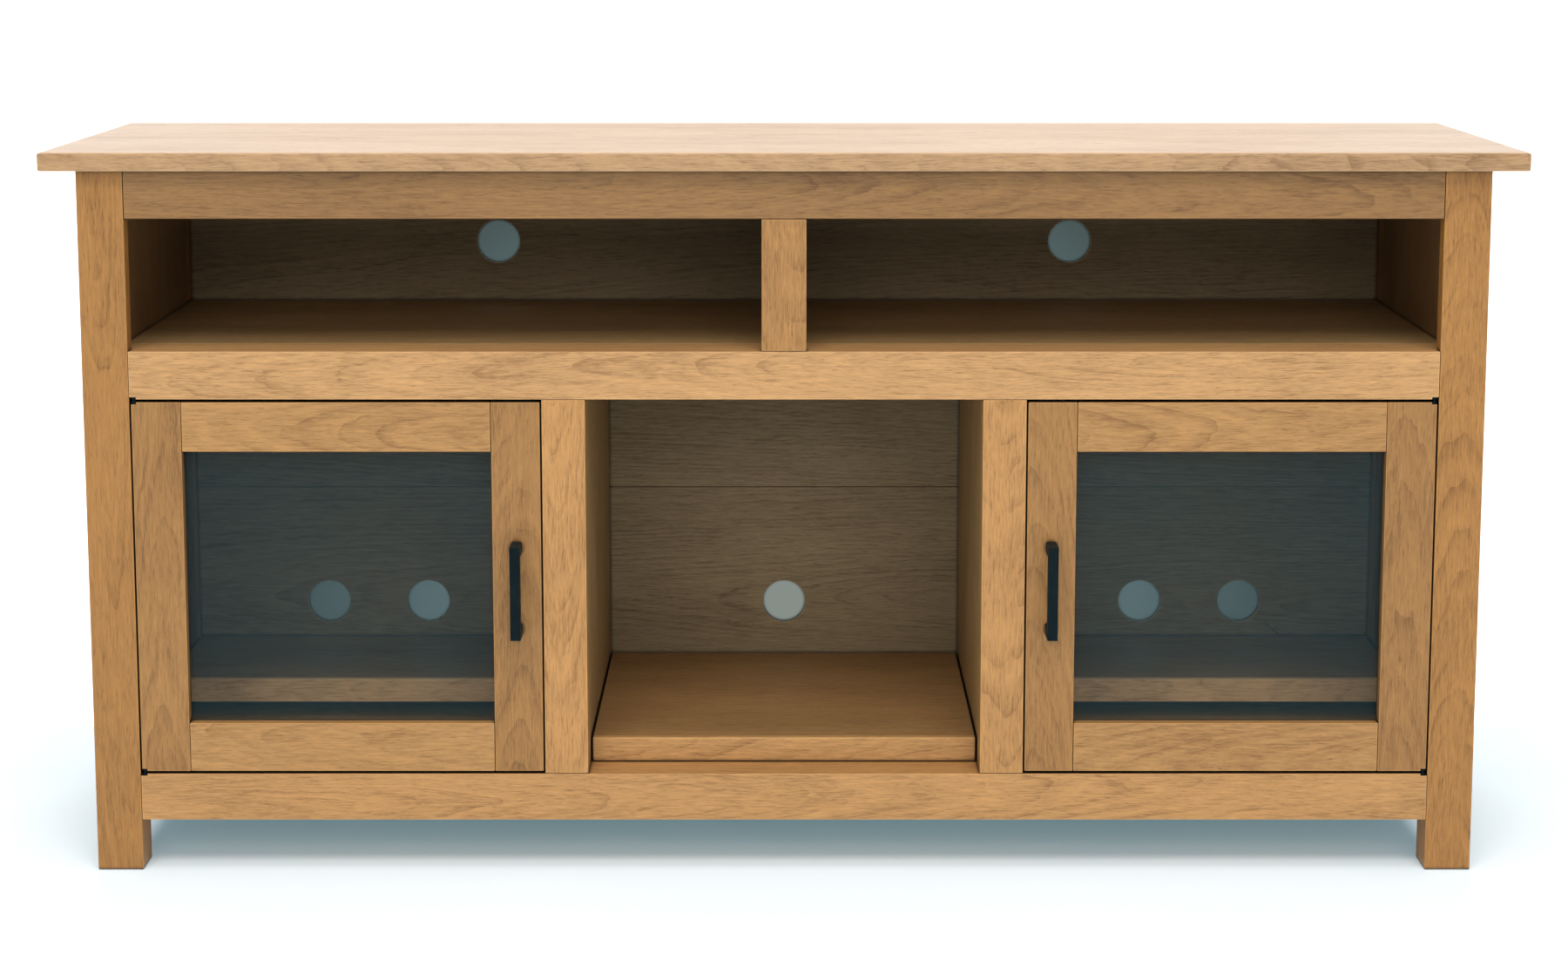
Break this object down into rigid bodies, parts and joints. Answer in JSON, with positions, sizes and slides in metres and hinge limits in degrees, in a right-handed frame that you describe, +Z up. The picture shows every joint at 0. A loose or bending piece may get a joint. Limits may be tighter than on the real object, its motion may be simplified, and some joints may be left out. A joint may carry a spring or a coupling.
{
  "type": "media cabinet",
  "caption": "Framed wooden media cabinet: open upper bays, an open centre bay with a loose shelf, and glazed doors that swing out at both sides.",
  "frame": {"origin": "on the floor, at the middle of the bounding box seen from above, which takes in the door handles", "axes": "+X to the right of someone facing the doors, +Y to the back, +Z up"},
  "size_m": [1.524, 0.446, 0.762],
  "materials": {
    "honey_wood": "satin lacquer over a honey stain",
    "post_wood": "satin lacquer over a honey stain",
    "back_panel": "matte stained veneer on thin board",
    "tinted_glass": "clear polished glass with a grey tint",
    "black_metal": "satin black powder coat",
    "zinc": "bright zinc plate",
    "black_plastic": "moulded, matte"
  },
  "bodies": {
    "cabinet": {"top_panel": "honey_wood", "apron_rail": "honey_wood", "middle_rail": "honey_wood", "bottom_rail": "honey_wood", "upper_centre_stile": "honey_wood", "upper_shelf_panel": "honey_wood", "floor_panel": "honey_wood", "upper_divider_panel": "honey_wood", "rear_top_rail": "honey_wood", "rear_bottom_rail": "honey_wood", "upper_back_panel": "back_panel", "lower_back_panel": "back_panel", "centre_shelf": "honey_wood", "front_left_post": "post_wood", "front_right_post": "post_wood", "rear_left_post": "post_wood", "rear_right_post": "post_wood", "left_divider_stile": "honey_wood", "right_divider_stile": "honey_wood", "left_side_panel": "honey_wood", "right_side_panel": "honey_wood", "left_divider_panel": "honey_wood", "right_divider_panel": "honey_wood", "left_shelf": "honey_wood", "right_shelf": "honey_wood", "left_shelf_pin_inner_front": "zinc", "left_shelf_pin_inner_rear": "zinc", "left_shelf_pin_outer_front": "zinc", "left_shelf_pin_outer_rear": "zinc", "right_shelf_pin_inner_front": "zinc", "right_shelf_pin_inner_rear": "zinc", "right_shelf_pin_outer_front": "zinc", "right_shelf_pin_outer_rear": "zinc", "left_magnetic_catch": "black_plastic", "right_magnetic_catch": "black_plastic", "left_top_hinge_frame_leaf": "black_metal", "left_bottom_hinge_frame_leaf": "black_metal", "right_top_hinge_frame_leaf": "black_metal", "right_bottom_hinge_frame_leaf": "black_metal"},
    "left_door": {"left_door_hinge_stile": "post_wood", "left_door_handle_stile": "post_wood", "left_door_top_rail": "honey_wood", "left_door_bottom_rail": "honey_wood", "left_door_glass": "tinted_glass", "left_door_glass_retainer": "honey_wood", "left_door_handle": "black_metal", "left_door_strike_plate": "zinc", "left_top_hinge_door_leaf": "black_metal", "left_bottom_hinge_door_leaf": "black_metal"},
    "right_door": {"right_door_hinge_stile": "post_wood", "right_door_handle_stile": "post_wood", "right_door_top_rail": "honey_wood", "right_door_bottom_rail": "honey_wood", "right_door_glass": "tinted_glass", "right_door_glass_retainer": "honey_wood", "right_door_handle": "black_metal", "right_door_strike_plate": "zinc", "right_top_hinge_door_leaf": "black_metal", "right_bottom_hinge_door_leaf": "black_metal"}
  },
  "joints": [
    {"name": "left_door_hinge", "type": "hinge", "parent": "cabinet", "child": "left_door", "pos_m": [-0.6742, -0.191, 0.305], "axis": [0, 0, -1], "range_deg": [0, 110]},
    {"name": "right_door_hinge", "type": "hinge", "parent": "cabinet", "child": "right_door", "pos_m": [0.6742, -0.191, 0.305], "axis": [0, 0, 1], "range_deg": [0, 110]}
  ]
}
